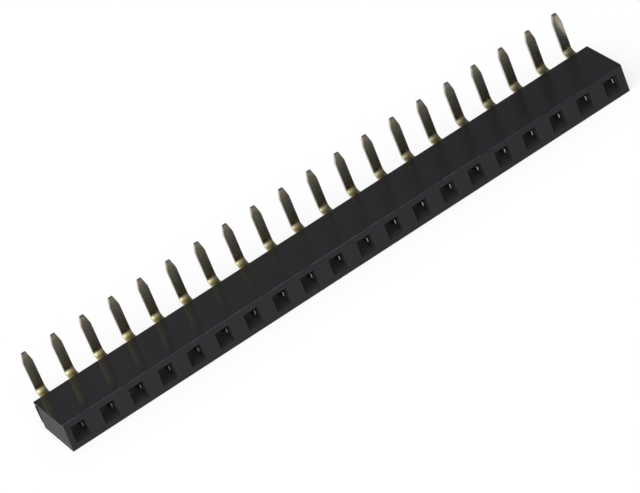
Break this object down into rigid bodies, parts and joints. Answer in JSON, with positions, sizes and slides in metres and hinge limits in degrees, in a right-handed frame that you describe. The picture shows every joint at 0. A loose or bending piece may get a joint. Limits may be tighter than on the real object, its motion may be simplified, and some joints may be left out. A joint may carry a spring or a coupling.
{
  "type": "right-angle female pin header strip",
  "caption": "Single-row right-angle female header: a black moulded bar with square sockets in its narrow face and gold stamped tails that leave the back and turn up.",
  "frame": {"origin": "middle of the plain resting face, in line with the middle of the row of sockets", "axes": "+X along the row, -Y out of the sockets, +Z from the plain face to the board side, the way the tails point"},
  "size_m": [0.0507, 0.0056, 0.0059],
  "materials": {
    "housing": "black glass-filled moulding plastic, smooth with a low sheen",
    "contact": "stamped copper alloy with a thin gold plating"
  },
  "bodies": {
    "root": {"housing": "housing", "contact_1": "contact", "contact_2": "contact", "contact_3": "contact", "contact_4": "contact", "contact_5": "contact", "contact_6": "contact", "contact_7": "contact", "contact_8": "contact", "contact_9": "contact", "contact_10": "contact", "contact_11": "contact", "contact_12": "contact", "contact_13": "contact", "contact_14": "contact", "contact_15": "contact", "contact_16": "contact", "contact_17": "contact", "contact_18": "contact", "contact_19": "contact", "contact_20": "contact"}
  },
  "joints": []
}
